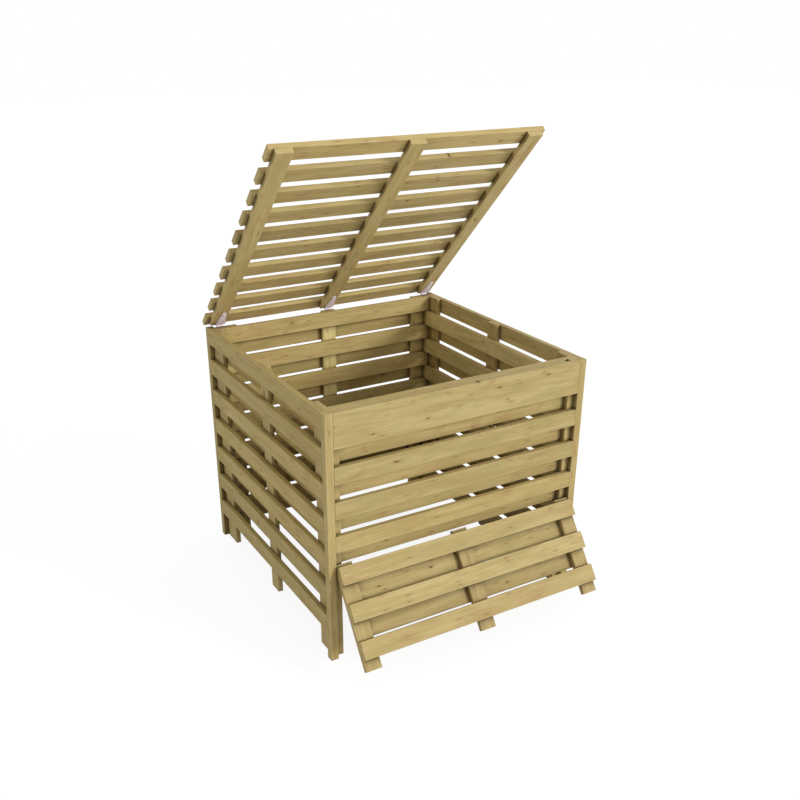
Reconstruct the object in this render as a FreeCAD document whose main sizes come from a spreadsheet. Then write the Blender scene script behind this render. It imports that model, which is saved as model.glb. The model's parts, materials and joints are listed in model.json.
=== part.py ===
import FreeCAD, Part
import os
import re

# Slatted compost bin with a hinged lid and a hatch at the bottom of the front.
# Millimetres, +Z up. The origin is on the ground, in the middle of the four walls' outline.
# +X is to the right and +Y to the back, for someone standing in front of the bin.

doc = FreeCAD.newDocument("CompostBin")
os.makedirs("parts", exist_ok=True)

# Driving dimensions
drivingSizes = {
    "bin_width": 1000,
    "bin_depth": 997,
    "wall_height": 884,
    "board_thick": 18.5,
    "slat_height": 60,
    "slat_pitch": 120,
    "batten_width": 58,
    "trim_width": 27.5,
    "lid_side_overhang": 2,
    "lid_back_overhang": 16.9,
    "lid_front_inset": 0.9,
    "lid_batten_inset": 15,
    "lid_open_angle": 45.35,
    "hinge_plate_width": 26,
    "hinge_plate_height": 49,
    "hinge_metal": 2,
    "hinge_barrel_radius": 5.5,
    "hinge_pin_radius": 2.45,
    "hinge_knuckle_width": 10.4,
    "leaf_width": 38,
    "leaf_length": 92.5,
    "leaf_tip_radius": 8,
    "leaf_shoulder": 8,
    "hinge_offset": 9,
    "hinge_screw_across": 8,
    "plate_screw_upper": 18,
    "plate_screw_lower": 43,
    "leaf_screw_near": 52,
    "leaf_screw_far": 76,
    "screw_radius": 2,
    "screw_length": 15,
    "screw_head_radius": 3.6,
    "screw_head_height": 2,
    "hatch_foot_clearance": 5.5,
    "hatch_foot_length": 37.5,
    "hatch_batten_width": 57,
    "hatch_top_gap": 57.4,
    "hatch_slat_drop": 0.6,
    "hatch_inner_lift": 3.7,
    "hatch_inner_squeeze": 3.9,
    "hatch_open_angle": 34.69,
    "pivot_pin_radius": 3,
    "pivot_pin_length": 52,
    "pivot_pin_inset": 10,
    "pin_play": 0.05,
    "running_gap": 0.5,
    "knuckle_gap": 0.3,
}
outerSlatLevels = 7
lidSlatCount = 10
frontSlatCount = 4

# Sizes that follow from those: the hatch hangs from a pivot below the lowest front slat,
# and its three slats share out the height under it
lowestFrontSlat = f"wall_height - 2 * slat_height - {frontSlatCount - 1} * slat_pitch"
derivedSizes = {
    "hatch_pivot_height": f"={lowestFrontSlat} - hatch_top_gap",
    "hatch_drop": "=hatch_pivot_height - hatch_foot_clearance",
    "hatch_pitch": "=(hatch_drop - hatch_foot_length - slat_height - hatch_slat_drop) / 2",
}
sheet = doc.addObject("Spreadsheet::Sheet", "Sizes")
for row, (alias, number) in enumerate({**drivingSizes, **derivedSizes}.items(), start=1):
    sheet.set(f"A{row}", alias.replace("_", " "))
    sheet.set(f"B{row}", str(number))
    sheet.setAlias(f"B{row}", alias)
doc.recompute()

hingeMiddles = {
    "left": "-bin_width / 2 + lid_batten_inset + batten_width / 2 + hinge_offset",
    "middle": "hinge_offset",
    "right": "bin_width / 2 - trim_width - running_gap - hinge_plate_width / 2",
}
plateScrewDrops = ("plate_screw_upper", "plate_screw_lower")
leafScrewReaches = ("leaf_screw_near", "leaf_screw_far")

nodes = []


def withSheet(expression):
    """Names each alias in an expression in full, as the sheet's own cell."""
    return re.sub(r"[a-z]+(?:_[a-z]+)+", r"Sizes.\g<0>", expression)


def bind(piece, **expressions):
    """Binds properties of a piece to the sheet."""
    for name, expression in expressions.items():
        piece.setExpression(name, withSheet(expression))


def bindPlace(piece, place):
    """Binds the three coordinates of a piece's place to the sheet."""
    for axis, expression in zip("xyz", place):
        piece.setExpression(f"Placement.Base.{axis}", withSheet(expression))


def box(size, corner):
    """A board or block from its size and its lowest corner, each three expressions."""
    piece = doc.addObject("Part::Box", "Board")
    bind(piece, Length=size[0], Width=size[1], Height=size[2])
    bindPlace(piece, corner)
    return piece


turns = {
    "x": FreeCAD.Rotation(FreeCAD.Vector(0, 1, 0), 90),
    "y": FreeCAD.Rotation(FreeCAD.Vector(1, 0, 0), -90),
    "z": FreeCAD.Rotation(),
}


def rod(radius, length, start, along):
    """A cylinder that starts at a point and runs along +X, +Y or +Z."""
    piece = doc.addObject("Part::Cylinder", "Rod")
    bind(piece, Radius=radius, Height=length)
    piece.Placement = FreeCAD.Placement(FreeCAD.Vector(), turns[along])
    bindPlace(piece, start)
    return piece


def fuse(pieces):
    """One solid out of several that touch or overlap."""
    piece = doc.addObject("Part::MultiFuse", "Joined")
    piece.Shapes = pieces
    piece.Refine = True
    return piece


def group(pieces):
    """Several separate solids held as one object."""
    piece = doc.addObject("Part::Compound", "Group")
    piece.Links = pieces
    return piece


def cut(base, tools):
    """A piece less the tools, which stay apart from each other."""
    piece = doc.addObject("Part::Cut", "Shaped")
    piece.Base = base
    piece.Tool = tools[0] if len(tools) == 1 else group(tools)
    return piece


def node(label, piece):
    """Names a finished sub-part."""
    piece.Label = label
    nodes.append(piece)
    return piece


def angled(label, piece, pose):
    """Names a sub-part that is made in its closed place and turned about its own hinge."""
    holder = piece if piece.TypeId == "Part::Compound" else group([piece])
    holder.Placement = pose
    return node(label, holder)


def stack(levels, size, corner, base, pitch):
    """Equal slats one above the other: level 0 is lowest, and base is its underside."""
    slats = []
    for level in levels:
        place = (corner[0], corner[1], f"{base} + {level} * ({pitch})")
        slats.append(box(size, place))
    return slats


halfWidth = "bin_width / 2"
halfDepth = "bin_depth / 2"
outerBase = f"wall_height - slat_height - {outerSlatLevels - 1} * slat_pitch"
lowBase = f"{outerBase} - slat_height"
postWidth = "2 * board_thick"
battenLeft = "-bin_width / 2 + 3 * board_thick"
battenRight = "bin_width / 2 - 3 * board_thick - batten_width"
middleLeft = "-batten_width / 2"

# Corner posts, two boards thick each way, from the ground to the rim
sides = {"left": -1, "right": 1}
ends = {"front": -1, "back": 1}


def low(sign, half, inset, span):
    """Lower coordinate of a span that stands at an inset from one end of the bin."""
    if sign < 0:
        return f"-{half} + {inset}"
    return f"{half} - ({inset}) - ({span})"


# Lid hinge: its axis runs along X, over the back edge of the rim
hingeY = "bin_depth / 2 - board_thick + hinge_barrel_radius + running_gap"
hingeZ = "wall_height + running_gap * 2"
boreRadius = "hinge_pin_radius + pin_play"
plateBack = f"{hingeY} - hinge_barrel_radius - running_gap"


def plateScrewPlaces():
    """Places of the screws on the back of the wall, where each one enters the wood."""
    places = []
    for middle in hingeMiddles.values():
        for sign, drop in zip("-+", plateScrewDrops):
            places.append((f"{middle} {sign} hinge_screw_across", plateBack, f"{hingeZ} - {drop}"))
    return places


def plateScrewBores():
    """Bores for those screws, in whatever wood is behind the hinge plates."""
    bores = []
    for x, y, z in plateScrewPlaces():
        start = (x, f"{y} - screw_length - running_gap", z)
        bores.append(rod("screw_radius + pin_play", "screw_length + 2 * running_gap", start, "y"))
    return bores


for endName, end in ends.items():
    for sideName, side in sides.items():
        corner = (
            low(side, halfWidth, "board_thick", postWidth),
            low(end, halfDepth, "board_thick", postWidth),
            "0",
        )
        post = box((postWidth, postWidth, "wall_height"), corner)
        if endName == "back":
            post = cut(post, plateScrewBores())
        node(f"corner_post_{endName}_{sideName}", post)

# Corner trims: square strips outside the posts, each with a rebate where the post's corner sits
pivotY = "-bin_depth / 2 + board_thick / 2 - running_gap"


def pivotPin(side, radius):
    """A pin that runs from inside the front trim into the hatch's outer batten."""
    start = low(side, halfWidth, "pivot_pin_inset", "pivot_pin_length")
    return rod(radius, "pivot_pin_length", (start, pivotY, "hatch_pivot_height"), "x")


for endName, end in ends.items():
    for sideName, side in sides.items():
        strip = box(
            ("trim_width", "trim_width", "wall_height"),
            (
                low(side, halfWidth, "0", "trim_width"),
                low(end, halfDepth, "0", "trim_width"),
                "0",
            ),
        )
        rebate = box(
            (postWidth, postWidth, "wall_height"),
            (
                low(side, halfWidth, "board_thick", postWidth),
                low(end, halfDepth, "board_thick", postWidth),
                "0",
            ),
        )
        tools = [rebate]
        if endName == "front":
            tools.append(pivotPin(side, "pivot_pin_radius + pin_play"))
        node(f"corner_trim_{endName}_{sideName}", cut(strip, tools))

# Side walls: outer slats, three upright battens, and inner slats in the gaps and below
sideSlatLength = "bin_depth - 2 * trim_width"
sideInnerLength = "bin_depth - 6 * board_thick"
battenFront = "-bin_depth / 2 + 3 * board_thick"
battenBack = "bin_depth / 2 - 3 * board_thick - batten_width"
for sideName, side in sides.items():
    outer = stack(
        range(outerSlatLevels),
        ("board_thick", sideSlatLength, "slat_height"),
        (low(side, halfWidth, "0", "board_thick"), "-bin_depth / 2 + trim_width"),
        outerBase,
        "slat_pitch",
    )
    node(f"{sideName}_outer_slats", group(outer))
    inner = stack(
        range(outerSlatLevels),
        ("board_thick", sideInnerLength, "slat_height"),
        (low(side, halfWidth, "2 * board_thick", "board_thick"), battenFront),
        lowBase,
        "slat_pitch",
    )
    node(f"{sideName}_inner_slats", group(inner))
    battenX = low(side, halfWidth, "board_thick", "board_thick")
    for place, y in {"front": battenFront, "middle": middleLeft, "back": battenBack}.items():
        batten = box(("board_thick", "batten_width", "wall_height"), (battenX, y, "0"))
        node(f"{sideName}_batten_{place}", batten)

# Back wall: the same three layers, with the inner slats at the rim
backInner = stack(
    range(outerSlatLevels),
    ("bin_width - 6 * board_thick", "board_thick", "slat_height"),
    (battenLeft, "bin_depth / 2 - 3 * board_thick"),
    outerBase,
    "slat_pitch",
)
node("back_inner_slats", group(backInner))
backOuter = stack(
    range(outerSlatLevels),
    ("bin_width - 2 * trim_width", "board_thick", "slat_height"),
    ("-bin_width / 2 + trim_width", "bin_depth / 2 - board_thick"),
    lowBase,
    "slat_pitch",
)
node("back_outer_slats", group(backOuter))
backBattenX = {"left": battenLeft, "middle": middleLeft, "right": battenRight}
for place, x in backBattenX.items():
    batten = box(
        ("batten_width", "board_thick", "wall_height"),
        (x, "bin_depth / 2 - 2 * board_thick", "0"),
    )
    if place != "right":
        batten = cut(batten, plateScrewBores())
    node(f"back_batten_{place}", batten)

# Front wall above the hatch: two slats edge to edge at the rim, then one slat to each gap
frontSize = ("bin_width - 2 * trim_width", "board_thick", "slat_height")
frontCorner = ("-bin_width / 2 + trim_width", "-bin_depth / 2")
frontSlats = stack(range(frontSlatCount), frontSize, frontCorner, lowestFrontSlat, "slat_pitch")
rimSlat = box(frontSize, (*frontCorner, "wall_height - slat_height"))
fromTop = [rimSlat, *reversed(frontSlats)]
for number, slat in enumerate(fromTop, start=1):
    node(f"front_slat_{number}", slat)

frontInnerSize = ("bin_width - 6 * board_thick", "board_thick", "slat_height")
frontInnerCorner = (battenLeft, "-bin_depth / 2 + 2 * board_thick")
frontInner = stack(
    range(frontSlatCount),
    frontInnerSize,
    frontInnerCorner,
    f"{lowestFrontSlat} - slat_height",
    "slat_pitch",
)
frontInner.append(box(frontInnerSize, (*frontInnerCorner, "wall_height - slat_height")))
# A rail fills the rim between its two slats, and ends one board short of the right post
rimRail = box(
    ("bin_width - 7 * board_thick", "board_thick", "slat_height"),
    (battenLeft, "-bin_depth / 2 + board_thick", "wall_height - slat_height"),
)
frontInner.append(rimRail)
node("front_inner_slats", group(frontInner))

# Fixed halves of the three lid hinges, on the back of the wall under the rim
endKnuckle = "(hinge_plate_width - hinge_knuckle_width) / 2 - knuckle_gap"
for place, middle in hingeMiddles.items():
    plateLeft = f"{middle} - hinge_plate_width / 2"
    endLefts = (plateLeft, f"{middle} + hinge_knuckle_width / 2 + knuckle_gap")
    plateTop = f"{hingeZ} - hinge_barrel_radius - running_gap"
    solids = [
        box(
            ("hinge_plate_width", "hinge_metal", "hinge_plate_height"),
            (plateLeft, plateBack, f"{plateTop} - hinge_plate_height"),
        )
    ]
    for endLeft in endLefts:
        solids.append(
            box(
                (endKnuckle, "hinge_metal", "hinge_barrel_radius + running_gap"),
                (endLeft, plateBack, plateTop),
            )
        )
        solids.append(rod("hinge_barrel_radius", endKnuckle, (endLeft, hingeY, hingeZ), "x"))
    holes = [rod(boreRadius, "hinge_plate_width", (plateLeft, hingeY, hingeZ), "x")]
    for sign, drop in zip("-+", plateScrewDrops):
        start = (f"{middle} {sign} hinge_screw_across", plateBack, f"{hingeZ} - {drop}")
        holes.append(rod("screw_radius + pin_play", "hinge_metal", start, "y"))
    node(f"lid_hinge_plate_{place}", cut(fuse(solids), holes))

pins = []
for middle in hingeMiddles.values():
    start = (f"{middle} - hinge_plate_width / 2", hingeY, hingeZ)
    pins.append(rod("hinge_pin_radius", "hinge_plate_width", start, "x"))
node("lid_hinge_pins", group(pins))

plateScrews = []
for x, y, z in plateScrewPlaces():
    shank = rod("screw_radius", "screw_length + hinge_metal", (x, f"{y} - screw_length", z), "y")
    head = rod("screw_head_radius", "screw_head_height", (x, f"{y} + hinge_metal", z), "y")
    plateScrews.append(fuse([shank, head]))
node("hinge_plate_screws", group(plateScrews))

pivotPins = [pivotPin(side, "pivot_pin_radius") for side in sides.values()]
node("hatch_pivot_pins", group(pivotPins))

doc.recompute()

# Lid, made shut about its own hinge axis: the front is at -Y, and turning about -X opens it
lidPose = FreeCAD.Placement(
    FreeCAD.Vector(
        0,
        sheet.bin_depth / 2 - sheet.board_thick + sheet.hinge_barrel_radius + sheet.running_gap,
        sheet.wall_height + 2 * sheet.running_gap,
    ),
    FreeCAD.Rotation(FreeCAD.Vector(1, 0, 0), -sheet.lid_open_angle),
)
lidReach = "(bin_depth - board_thick + hinge_barrel_radius + running_gap - lid_front_inset)"
lidPitch = f"({lidReach} + lid_back_overhang - slat_height) / {lidSlatCount - 1}"
leafUnder = "-running_gap"
battenUnder = "hinge_metal - running_gap"
slatUnder = f"{battenUnder} + board_thick"

for number in range(1, lidSlatCount + 1):
    slat = box(
        ("bin_width + 2 * lid_side_overhang", "slat_height", "board_thick"),
        (
            "-bin_width / 2 - lid_side_overhang",
            f"-{lidReach} + {number - 1} * {lidPitch}",
            slatUnder,
        ),
    )
    angled(f"lid_slat_{number}", slat, lidPose)

lidBattenX = {
    "left": "-bin_width / 2 + lid_batten_inset",
    "middle": middleLeft,
    "right": "bin_width / 2 - lid_batten_inset - batten_width",
}
battenRear = "hinge_barrel_radius + 2 * running_gap"
for place, x in lidBattenX.items():
    batten = box(
        ("batten_width", f"{lidReach} - ({battenRear})", "board_thick"),
        (x, f"-{lidReach}", battenUnder),
    )
    bores = []
    for reach in leafScrewReaches:
        start = (hingeMiddles[place], f"-{reach}", battenUnder)
        bores.append(rod("screw_radius + pin_play", "screw_length + running_gap", start, "z"))
    angled(f"lid_batten_{place}", cut(batten, bores), lidPose)

# Moving halves of the hinges: tapered round-ended leaves under the battens
tipMiddle = "leaf_length - leaf_tip_radius"
neckEdge = "hinge_barrel_radius + running_gap + knuckle_gap"
for place, middle in hingeMiddles.items():
    shoulder = box(
        ("leaf_width", "leaf_shoulder", "hinge_metal"),
        (f"{middle} - leaf_width / 2", f"-({neckEdge}) - leaf_shoulder", leafUnder),
    )
    taper = doc.addObject("Part::Wedge", "Taper")
    bind(
        taper,
        Xmin="-leaf_tip_radius",
        Xmax="leaf_tip_radius",
        X2min="-leaf_width / 2",
        X2max="leaf_width / 2",
        Ymin=f"-({tipMiddle})",
        Ymax=f"-({neckEdge}) - leaf_shoulder",
        Zmin=leafUnder,
        Zmax=battenUnder,
        Z2min=leafUnder,
        Z2max=battenUnder,
    )
    bindPlace(taper, (middle, "0", "0"))
    tip = rod("leaf_tip_radius", "hinge_metal", (middle, f"-({tipMiddle})", leafUnder), "z")
    neck = box(
        ("hinge_knuckle_width", neckEdge, "hinge_metal"),
        (f"{middle} - hinge_knuckle_width / 2", f"-({neckEdge})", leafUnder),
    )
    knuckleStart = (f"{middle} - hinge_knuckle_width / 2", "0", "0")
    knuckle = rod("hinge_barrel_radius", "hinge_knuckle_width", knuckleStart, "x")
    holes = [rod(boreRadius, "hinge_knuckle_width", knuckleStart, "x")]
    for reach in leafScrewReaches:
        holes.append(rod("screw_radius + pin_play", "hinge_metal", (middle, f"-{reach}", leafUnder), "z"))
    leaf = cut(fuse([shoulder, taper, tip, neck, knuckle]), holes)
    angled(f"lid_hinge_leaf_{place}", leaf, lidPose)

leafScrews = []
for middle in hingeMiddles.values():
    for reach in leafScrewReaches:
        shank = rod("screw_radius", "screw_length + hinge_metal", (middle, f"-{reach}", leafUnder), "z")
        headStart = (middle, f"-{reach}", f"{leafUnder} - screw_head_height")
        head = rod("screw_head_radius", "screw_head_height", headStart, "z")
        leafScrews.append(fuse([shank, head]))
angled("hinge_leaf_screws", group(leafScrews), lidPose)

# Hatch, made shut about its pivot axis: it hangs down, and turning about -X swings its foot out
hatchPose = FreeCAD.Placement(
    FreeCAD.Vector(
        0,
        -sheet.bin_depth / 2 + sheet.board_thick / 2 - sheet.running_gap,
        sheet.hatch_pivot_height,
    ),
    FreeCAD.Rotation(FreeCAD.Vector(1, 0, 0), -sheet.hatch_open_angle),
)
hatchHalf = "bin_width / 2 - trim_width - running_gap"
battenFace = "-board_thick / 2"
hatchBase = "-hatch_drop + hatch_foot_length"

hatchNames = ("bottom", "middle", "top")
for level, name in enumerate(hatchNames):
    slat = box(
        (f"2 * ({hatchHalf})", "board_thick", "slat_height"),
        (f"-({hatchHalf})", "-1.5 * board_thick", f"{hatchBase} + {level} * hatch_pitch"),
    )
    angled(f"hatch_slat_{name}", slat, hatchPose)

innerHalf = "bin_width / 2 - 3 * board_thick - running_gap"
for level, name in enumerate(("lower", "upper")):
    slat = box(
        (f"2 * ({innerHalf})", "board_thick", "slat_height"),
        (
            f"-({innerHalf})",
            "board_thick / 2",
            f"{hatchBase} + slat_height + hatch_inner_lift + {level} * (hatch_pitch - hatch_inner_squeeze)",
        ),
    )
    angled(f"hatch_inner_slat_{name}", slat, hatchPose)

hatchBattenX = {
    "left": f"-({hatchHalf})",
    "middle": "-hatch_batten_width / 2",
    "right": f"{hatchHalf} - hatch_batten_width",
}
for place, x in hatchBattenX.items():
    blank = box(
        ("hatch_batten_width", "board_thick", "hatch_drop"),
        (x, battenFace, "-hatch_drop"),
    )
    squareTop = box(
        ("hatch_batten_width", "board_thick / 2", "board_thick / 2"),
        (x, battenFace, "0"),
    )
    roundTop = rod("board_thick / 2", "hatch_batten_width", (x, "0", "0"), "x")
    batten = fuse([blank, squareTop, roundTop])
    if place != "middle":
        start = low(
            sides[place],
            halfWidth,
            "pivot_pin_inset - running_gap",
            "pivot_pin_length + 2 * running_gap",
        )
        bore = rod(
            "pivot_pin_radius + pin_play",
            "pivot_pin_length + 2 * running_gap",
            (start, "0", "0"),
            "x",
        )
        batten = cut(batten, [bore])
    angled(f"hatch_batten_{place}", batten, hatchPose)

doc.recompute()

# Every object is checked before anything is written
for piece in doc.Objects:
    if "Invalid" in piece.State or "Error" in piece.State:
        raise RuntimeError(f"{piece.Label} did not recompute: {piece.State}")
for piece in nodes:
    shape = piece.Shape
    if shape.isNull() or not shape.isValid() or not shape.Solids:
        raise RuntimeError(f"{piece.Label} has no valid solid")
for piece in nodes:
    piece.Shape.exportStep(os.path.join("parts", piece.Label + ".step"))
print(len(nodes), "sub-parts written")
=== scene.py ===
import json
import math

import bpy
import numpy as np
from mathutils import Matrix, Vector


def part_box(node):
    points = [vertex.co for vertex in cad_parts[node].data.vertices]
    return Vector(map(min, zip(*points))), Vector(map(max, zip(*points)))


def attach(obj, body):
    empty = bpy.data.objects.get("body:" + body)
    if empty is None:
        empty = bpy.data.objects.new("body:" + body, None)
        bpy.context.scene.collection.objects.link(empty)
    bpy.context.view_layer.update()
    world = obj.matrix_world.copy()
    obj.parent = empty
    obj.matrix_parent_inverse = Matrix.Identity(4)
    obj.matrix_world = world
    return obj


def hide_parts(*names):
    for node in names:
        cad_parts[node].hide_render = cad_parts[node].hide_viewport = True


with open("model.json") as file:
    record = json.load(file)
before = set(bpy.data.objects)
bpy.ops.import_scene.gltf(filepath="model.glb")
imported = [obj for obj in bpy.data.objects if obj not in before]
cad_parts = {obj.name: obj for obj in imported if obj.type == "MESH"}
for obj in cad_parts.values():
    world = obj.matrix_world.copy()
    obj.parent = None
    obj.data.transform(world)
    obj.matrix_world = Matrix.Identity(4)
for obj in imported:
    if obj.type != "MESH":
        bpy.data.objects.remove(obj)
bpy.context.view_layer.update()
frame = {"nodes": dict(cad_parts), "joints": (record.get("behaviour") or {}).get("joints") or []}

scene = bpy.context.scene
print("frame loaded:", len(frame["nodes"]), "CAD parts")


def srgb(red, green, blue):
    # linear colour from the 0 to 255 numbers of a colour picker
    screen = np.array([red, green, blue]) / 255
    linear = np.where(screen <= 0.04045, screen / 12.92, ((screen + 0.055) / 1.055) ** 2.4)
    return (*linear.tolist(), 1.0)


cameraLook = {
    "place": (-1.6145, -2.7913, 1.9414),
    "turn": (65.003, -0.062, -30.099),  # degrees
    "lens": 42.29,
    "sensor": 36,
    "shift": (0.0149, 0.0689),
    "farthest": 60,
}
camera = bpy.data.objects.new("camera", bpy.data.cameras.new("camera"))
camera.location = cameraLook["place"]
camera.rotation_euler = [math.radians(angle) for angle in cameraLook["turn"]]
camera.data.lens = cameraLook["lens"]
camera.data.sensor_width = cameraLook["sensor"]
camera.data.shift_x, camera.data.shift_y = cameraLook["shift"]
camera.data.clip_end = cameraLook["farthest"]
scene.collection.objects.link(camera)
scene.camera = camera

lightLook = {
    "sunStrength": 1.55,
    "sunSize": 16,  # degrees across: a large soft lamp
    "sunHeight": 20,  # degrees above the ground
    "sunSide": 36,  # degrees to the right of straight in front
    "sky": 0.61,
    "backdrop": 1.0,
    "floorSize": 24,
    "floorWhite": 0.8,
    "floorGlow": 0.88,
    "floorShade": 0.2,
}
sun = bpy.data.objects.new("softSun", bpy.data.lights.new("softSun", "SUN"))
sun.data.energy = lightLook["sunStrength"]
sun.data.angle = math.radians(lightLook["sunSize"])
sun.rotation_euler = (math.radians(90 - lightLook["sunHeight"]), 0, math.radians(lightLook["sunSide"]))
scene.collection.objects.link(sun)


def feed(tree, value, entry):
    # an input takes a plain value, a socket, or a node, which stands for its first output
    if isinstance(value, bpy.types.Node):
        value = value.outputs[0]
    if isinstance(value, bpy.types.NodeSocket):
        tree.links.new(value, entry)
    else:
        entry.default_value = value


def newNode(tree, kind, *feeds, **values):
    # adds a shader node: each named value goes to the property or the input of that name, and the
    # feeds go to its inputs in turn
    made = tree.nodes.new("ShaderNode" + kind)
    for name, value in values.items():
        if name in made.bl_rna.properties and not made.bl_rna.properties[name].is_readonly:
            setattr(made, name, value)
        else:
            feed(tree, value, made.inputs[name.replace("_", " ")])
    for entry, value in zip(made.inputs, feeds):
        feed(tree, value, entry)
    return made


def mathNode(tree, operation, *values):
    return newNode(tree, "Math", *values, operation=operation)


def vectorNode(tree, operation, *values):
    return newNode(tree, "VectorMath", *values, operation=operation)


def newMaterial(name):
    # an empty material and its nodes
    made = bpy.data.materials.new(name)
    made.use_nodes = True
    made.node_tree.nodes.clear()
    return made, made.node_tree


def cameraSees(tree):
    # 1 where the camera, a reflection or a clear surface looks at the backdrop
    path = newNode(tree, "LightPath").outputs
    opaque = mathNode(tree, "MAXIMUM", path["Is Camera Ray"], path["Is Glossy Ray"])
    return mathNode(tree, "MAXIMUM", opaque, path["Is Transmission Ray"])


world = bpy.data.worlds.new("studio")
scene.world = world
world.use_nodes = True
worldTree = world.node_tree
worldTree.nodes.clear()
backs = [
    newNode(worldTree, "Background", Color=(1, 1, 1, 1), Strength=lightLook[label])
    for label in ("sky", "backdrop")
]
newNode(worldTree, "OutputWorld", newNode(worldTree, "MixShader", cameraSees(worldTree), *backs))


def floorMaterial():
    # pale floor: it glows for the camera only, so it reads white and still takes the shadow
    made, tree = newMaterial("paleFloor")
    matte, shade = (
        newNode(tree, "BsdfDiffuse", Color=(*[lightLook[label]] * 3, 1))
        for label in ("floorWhite", "floorShade")
    )
    glow = newNode(tree, "Emission", Strength=lightLook["floorGlow"])
    seen = newNode(tree, "AddShader", shade, glow)
    newNode(tree, "OutputMaterial", newNode(tree, "MixShader", cameraSees(tree), matte, seen))
    return made


floorMesh = bpy.data.meshes.new("paleFloor")
floorCorners = np.array([[-1, -1, 0], [1, -1, 0], [1, 1, 0], [-1, 1, 0]]) * lightLook["floorSize"]
floorMesh.from_pydata(floorCorners.tolist(), [], [(0, 1, 2, 3)])
floorMesh.materials.append(floorMaterial())
floor = bpy.data.objects.new("paleFloor", floorMesh)
scene.collection.objects.link(floor)
print("camera, light and floor ready")


def newGroup(name, inputs, outputs):
    # an empty shader group with what goes in and what comes out; each input is (name, kind, default)
    group = bpy.data.node_groups.new(name, "ShaderNodeTree")
    for label, kind, value in inputs:
        socket = group.interface.new_socket(label, in_out="INPUT", socket_type="NodeSocket" + kind)
        if value is not None:
            socket.default_value = value
    for label in outputs:
        group.interface.new_socket(label, in_out="OUTPUT", socket_type="NodeSocketFloat")
    return group, group.nodes.new("NodeGroupInput").outputs, group.nodes.new("NodeGroupOutput").inputs


def rampNode(tree, value, low, high, toLow=0.0, toHigh=1.0):
    # smooth step of a value from low..high to toLow..toHigh
    return newNode(
        tree, "MapRange", interpolation_type="SMOOTHSTEP", Value=value,
        From_Min=low, From_Max=high, To_Min=toLow, To_Max=toHigh,
    )


def mixColor(tree, factor, first, second, blend="MIX"):
    # a Mix node on colours, whose own inputs are these three of many
    made = newNode(tree, "Mix", data_type="RGBA", blend_type=blend, clamp_factor=True)
    for index, value in ((0, factor), (6, first), (7, second)):
        feed(tree, value, made.inputs[index])
    return made.outputs[2]


def stretchedNoise(tree, place, stretch, detail=3.0, roughness=0.55, distortion=0.0):
    # noise drawn out along the board: stretch is its number of waves per metre each way
    squeeze = newNode(tree, "Mapping", Vector=place, Scale=stretch)
    return newNode(
        tree, "TexNoise", Vector=squeeze, Scale=1.0, Detail=detail, Roughness=roughness,
        Distortion=distortion,
    )


grainLook = {
    "softStreaks": (4.5, 44, 44),  # waves per metre along and across the board
    "fineStreaks": (9, 330, 330),
    "cloud": (6.5, 15, 15),
    "slowWander": (1.6, 9, 9),
    "ringSpacing": 0.0062,
    "ringWander": 0.02,
    "ringSharpness": 3.0,
    "knotCore": (0.45, 1.15),  # in knot radii: from solid to clear
    "knotHalo": (0.6, 3.6),
    "knotPush": 0.005,  # how far a knot bends the grain round it, in metres
    "fleckCells": (10, 42, 1),  # one fleck at most in each cell
    "fleckChosen": (0.55, 0.85),  # random values of a cell, from none to a full fleck
    "fleckCore": (0.05, 0.125),  # in cells: from solid to clear
    "fleckBlush": (0.08, 0.32),
    "fleckEdge": (60, 420, 420),
    "fleckRagged": 0.16,
    "rubbedFrom": (0.35, 1.0),  # where in the edge mark
    "rubbedPatch": (0.36, 0.62),  # and where in the noise that breaks it up
    "ledgeLift": 0.8,
    "ledgeOpen": (0.1, 0.86),
}


def fleckMasks(tree, place):
    # short dashes along the grain: the distance to the one point of each cell, in cells, bent a
    # little by noise; a random value of the cell says whether it has a dash at all
    parts = newNode(tree, "SeparateXYZ", place).outputs
    flat = newNode(tree, "CombineXYZ", parts[0], mathNode(tree, "ADD", parts[1], parts[2]))
    squeeze = newNode(tree, "Mapping", Vector=flat, Scale=grainLook["fleckCells"])
    cells = newNode(
        tree, "TexVoronoi", voronoi_dimensions="2D", Vector=squeeze, Scale=1.0, Randomness=0.9
    ).outputs
    uneven = mathNode(tree, "SUBTRACT", stretchedNoise(tree, place, grainLook["fleckEdge"], 2.0, 0.6), 0.5)
    distance = mathNode(tree, "MULTIPLY_ADD", uneven, grainLook["fleckRagged"], cells["Distance"])
    chance = newNode(tree, "SeparateColor", cells["Color"])
    chosen = rampNode(tree, chance, *grainLook["fleckChosen"])
    return [
        mathNode(tree, "MULTIPLY", rampNode(tree, distance, *grainLook[label], 1.0, 0.0), chosen)
        for label in ("fleckCore", "fleckBlush")
    ]


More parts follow.
